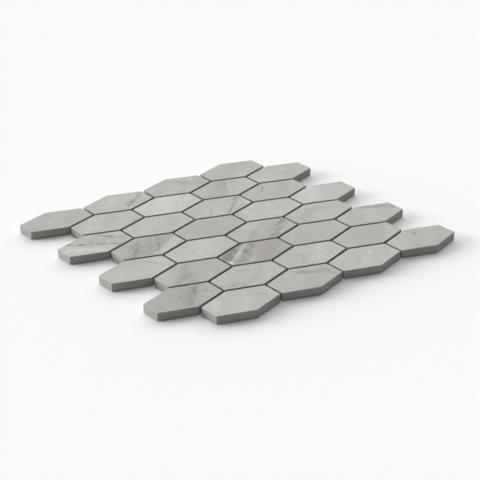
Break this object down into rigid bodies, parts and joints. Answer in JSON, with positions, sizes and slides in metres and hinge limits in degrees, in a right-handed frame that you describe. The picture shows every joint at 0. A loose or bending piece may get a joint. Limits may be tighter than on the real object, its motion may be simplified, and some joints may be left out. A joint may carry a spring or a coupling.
{
  "type": "hexagon mosaic tile",
  "caption": "Mosaic sheet of elongated hexagon porcelain tiles in staggered rows, held at even joints by a glass-fibre net glued to their backs.",
  "frame": {"origin": "centre of the sheet's bounding box, on the underside of the backing net", "axes": "+X along the rows of tiles, +Y across the rows from the last row to the first, +Z out of the finished face"},
  "size_m": [0.339, 0.3078, 0.0088],
  "materials": {
    "porcelain_grey": "matte",
    "porcelain_warm_grey": "matte",
    "porcelain_green_grey": "matte",
    "glass_fibre_net": "matte"
  },
  "bodies": {
    "root": {"backing_net_left": "glass_fibre_net", "backing_net_right": "glass_fibre_net", "tile_r1_c1": "porcelain_grey", "tile_r1_c2": "porcelain_grey", "tile_r1_c3": "porcelain_grey", "tile_r1_c4": "porcelain_grey", "tile_r2_c1": "porcelain_grey", "tile_r2_c2": "porcelain_grey", "tile_r2_c3": "porcelain_warm_grey", "tile_r2_c4": "porcelain_grey", "tile_r3_c1": "porcelain_grey", "tile_r3_c2": "porcelain_grey", "tile_r3_c3": "porcelain_grey", "tile_r3_c4": "porcelain_grey", "tile_r4_c1": "porcelain_warm_grey", "tile_r4_c2": "porcelain_grey", "tile_r4_c3": "porcelain_grey", "tile_r4_c4": "porcelain_grey", "tile_r5_c1": "porcelain_grey", "tile_r5_c2": "porcelain_grey", "tile_r5_c3": "porcelain_grey", "tile_r5_c4": "porcelain_grey", "tile_r6_c1": "porcelain_grey", "tile_r6_c2": "porcelain_green_grey", "tile_r6_c3": "porcelain_grey", "tile_r6_c4": "porcelain_grey", "tile_r7_c1": "porcelain_warm_grey", "tile_r7_c2": "porcelain_grey", "tile_r7_c3": "porcelain_grey", "tile_r7_c4": "porcelain_grey", "tile_r8_c1": "porcelain_grey", "tile_r8_c2": "porcelain_grey", "tile_r8_c3": "porcelain_grey", "tile_r8_c4": "porcelain_grey"}
  },
  "joints": []
}
